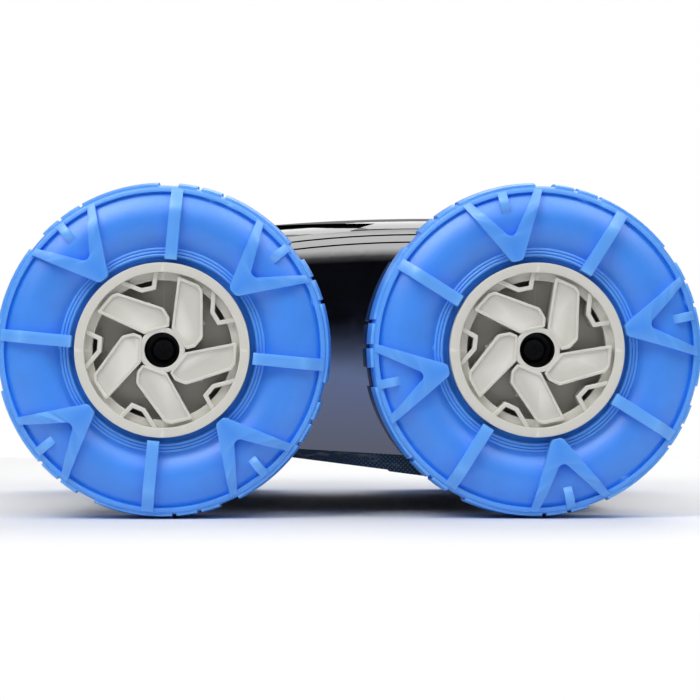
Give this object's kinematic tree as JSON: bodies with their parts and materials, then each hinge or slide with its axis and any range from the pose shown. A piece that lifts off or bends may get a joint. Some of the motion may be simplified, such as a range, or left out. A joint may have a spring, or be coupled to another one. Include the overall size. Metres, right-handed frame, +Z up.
{
  "type": "pool cleaner",
  "caption": "Wheeled suction pool cleaner with ribbed blue tyres on spiral-vane hubs, glossy black body, turbine gear drive and a swivelling hose socket.",
  "frame": {"origin": "on the floor, midway between the wheels", "axes": "+Z up, wheels' axles along Y, front at -X, machine's left side at -Y"},
  "size_m": [0.358, 0.344, 0.17],
  "materials": {
    "tyre_rubber": "matt moulded blue elastomer",
    "hub_plastic": "fine satin off-white",
    "stainless": "turned stainless steel",
    "gear_plastic": "natural acetal",
    "bearing_plastic": "dark filled acetal",
    "seal_rubber": "matt nitrile rubber",
    "flap_rubber": "matt moulded rubber",
    "skirt_plastic": "dark teal moulding with a printed dot pattern",
    "gloss_black": "piano black",
    "rotor_plastic": "satin moulded",
    "swivel_plastic": "fine grain black",
    "frame_plastic": "moulded dark grey"
  },
  "bodies": {
    "cleaner_body": {"axle_bush_front_left": "bearing_plastic", "axle_bush_front_right": "bearing_plastic", "axle_bush_rear_left": "bearing_plastic", "axle_bush_rear_right": "bearing_plastic", "axle_seals": "seal_rubber", "body_shell": "gloss_black", "chassis": "frame_plastic", "chassis_screws": "stainless", "cover_screws": "stainless", "flap_pins": "stainless", "gear_case_left": "frame_plastic", "gear_case_right": "frame_plastic", "gear_cover_left": "frame_plastic", "gear_cover_right": "frame_plastic", "shaft_bearing_left": "bearing_plastic", "shaft_bearing_right": "bearing_plastic", "side_skirt_left": "skirt_plastic", "side_skirt_right": "skirt_plastic", "swivel_retainer": "swivel_plastic", "swivel_seal": "seal_rubber", "top_cover": "gloss_black", "top_fairing": "gloss_black", "trim_bead": "gloss_black", "turbine_housing_lower": "frame_plastic", "turbine_housing_upper": "frame_plastic"},
    "wheel_front_left": {"tyre_front_left": "tyre_rubber", "wheel_hub_front_left": "hub_plastic", "wheel_screw_front_left": "stainless", "axle_front_left": "stainless", "axle_gear_front_left": "gear_plastic"},
    "wheel_front_right": {"tyre_front_right": "tyre_rubber", "wheel_hub_front_right": "hub_plastic", "wheel_screw_front_right": "stainless", "axle_front_right": "stainless", "axle_gear_front_right": "gear_plastic"},
    "wheel_rear_left": {"tyre_rear_left": "tyre_rubber", "wheel_hub_rear_left": "hub_plastic", "wheel_screw_rear_left": "stainless", "axle_rear_left": "stainless", "axle_gear_rear_left": "gear_plastic"},
    "wheel_rear_right": {"tyre_rear_right": "tyre_rubber", "wheel_hub_rear_right": "hub_plastic", "wheel_screw_rear_right": "stainless", "axle_rear_right": "stainless", "axle_gear_rear_right": "gear_plastic"},
    "turbine": {"turbine_rotor": "rotor_plastic", "turbine_shaft": "stainless", "turbine_pinion_left": "gear_plastic", "turbine_pinion_right": "gear_plastic"},
    "lay_gear_left": {"lay_gear_left": "gear_plastic"},
    "centre_gear_left": {"centre_gear_left": "gear_plastic"},
    "lay_gear_right": {"lay_gear_right": "gear_plastic"},
    "centre_gear_right": {"centre_gear_right": "gear_plastic"},
    "idler_front_left": {"idler_gear_front_left": "gear_plastic"},
    "idler_front_right": {"idler_gear_front_right": "gear_plastic"},
    "idler_rear_left": {"idler_gear_rear_left": "gear_plastic"},
    "idler_rear_right": {"idler_gear_rear_right": "gear_plastic"},
    "front_flap": {"front_flap": "flap_rubber"},
    "rear_flap": {"rear_flap": "flap_rubber"},
    "hose_swivel": {"hose_swivel": "swivel_plastic"}
  },
  "joints": [
    {"name": "wheel_front_left_spin", "type": "hinge", "parent": "cleaner_body", "child": "wheel_front_left", "pos_m": [-0.094, 0, 0.085], "axis": [0, 1, 0], "continuous": true},
    {"name": "wheel_front_right_spin", "type": "hinge", "parent": "cleaner_body", "child": "wheel_front_right", "pos_m": [-0.094, 0, 0.085], "axis": [0, 1, 0], "continuous": true},
    {"name": "wheel_rear_left_spin", "type": "hinge", "parent": "cleaner_body", "child": "wheel_rear_left", "pos_m": [0.094, 0, 0.085], "axis": [0, 1, 0], "continuous": true},
    {"name": "wheel_rear_right_spin", "type": "hinge", "parent": "cleaner_body", "child": "wheel_rear_right", "pos_m": [0.094, 0, 0.085], "axis": [0, 1, 0], "continuous": true},
    {"name": "turbine_spin", "type": "hinge", "parent": "cleaner_body", "child": "turbine", "pos_m": [0, 0, 0.085], "axis": [0, 1, 0], "continuous": true},
    {"name": "lay_gear_left_spin", "type": "hinge", "parent": "cleaner_body", "child": "lay_gear_left", "pos_m": [0.02651, 0, 0.094], "axis": [0, 1, 0], "continuous": true},
    {"name": "centre_gear_left_spin", "type": "hinge", "parent": "cleaner_body", "child": "centre_gear_left", "pos_m": [0, 0, 0.085], "axis": [0, 1, 0], "continuous": true},
    {"name": "lay_gear_right_spin", "type": "hinge", "parent": "cleaner_body", "child": "lay_gear_right", "pos_m": [0.02651, 0, 0.094], "axis": [0, 1, 0], "continuous": true},
    {"name": "centre_gear_right_spin", "type": "hinge", "parent": "cleaner_body", "child": "centre_gear_right", "pos_m": [0, 0, 0.085], "axis": [0, 1, 0], "continuous": true},
    {"name": "idler_front_left_spin", "type": "hinge", "parent": "cleaner_body", "child": "idler_front_left", "pos_m": [-0.03946, 0, 0.08021], "axis": [0, 1, 0], "continuous": true},
    {"name": "idler_front_right_spin", "type": "hinge", "parent": "cleaner_body", "child": "idler_front_right", "pos_m": [-0.03946, 0, 0.08021], "axis": [0, 1, 0], "continuous": true},
    {"name": "idler_rear_left_spin", "type": "hinge", "parent": "cleaner_body", "child": "idler_rear_left", "pos_m": [0.03946, 0, 0.08021], "axis": [0, 1, 0], "continuous": true},
    {"name": "idler_rear_right_spin", "type": "hinge", "parent": "cleaner_body", "child": "idler_rear_right", "pos_m": [0.03946, 0, 0.08021], "axis": [0, 1, 0], "continuous": true},
    {"name": "front_flap_hinge", "type": "hinge", "parent": "cleaner_body", "child": "front_flap", "pos_m": [-0.082, 0, 0.031], "axis": [0, 1, 0], "range_deg": [-40, 40]},
    {"name": "rear_flap_hinge", "type": "hinge", "parent": "cleaner_body", "child": "rear_flap", "pos_m": [0.082, 0, 0.031], "axis": [0, 1, 0], "range_deg": [-40, 40]},
    {"name": "hose_swivel_turn", "type": "hinge", "parent": "cleaner_body", "child": "hose_swivel", "pos_m": [0, 0, 0.145], "axis": [0, 0, 1], "continuous": true}
  ],
  "couplings": [
    {"joint": "wheel_front_right_spin", "follows": "wheel_front_left_spin", "ratio": 1},
    {"joint": "wheel_rear_left_spin", "follows": "wheel_front_left_spin", "ratio": 1},
    {"joint": "wheel_rear_right_spin", "follows": "wheel_front_left_spin", "ratio": 1},
    {"joint": "turbine_spin", "follows": "wheel_front_left_spin", "ratio": 18},
    {"joint": "lay_gear_left_spin", "follows": "wheel_front_left_spin", "ratio": -6},
    {"joint": "centre_gear_left_spin", "follows": "wheel_front_left_spin", "ratio": 2},
    {"joint": "lay_gear_right_spin", "follows": "wheel_front_left_spin", "ratio": -6},
    {"joint": "centre_gear_right_spin", "follows": "wheel_front_left_spin", "ratio": 2},
    {"joint": "idler_front_left_spin", "follows": "wheel_front_left_spin", "ratio": -1.2121},
    {"joint": "idler_front_right_spin", "follows": "wheel_front_left_spin", "ratio": -1.2121},
    {"joint": "idler_rear_left_spin", "follows": "wheel_front_left_spin", "ratio": -1.2121},
    {"joint": "idler_rear_right_spin", "follows": "wheel_front_left_spin", "ratio": -1.2121}
  ]
}
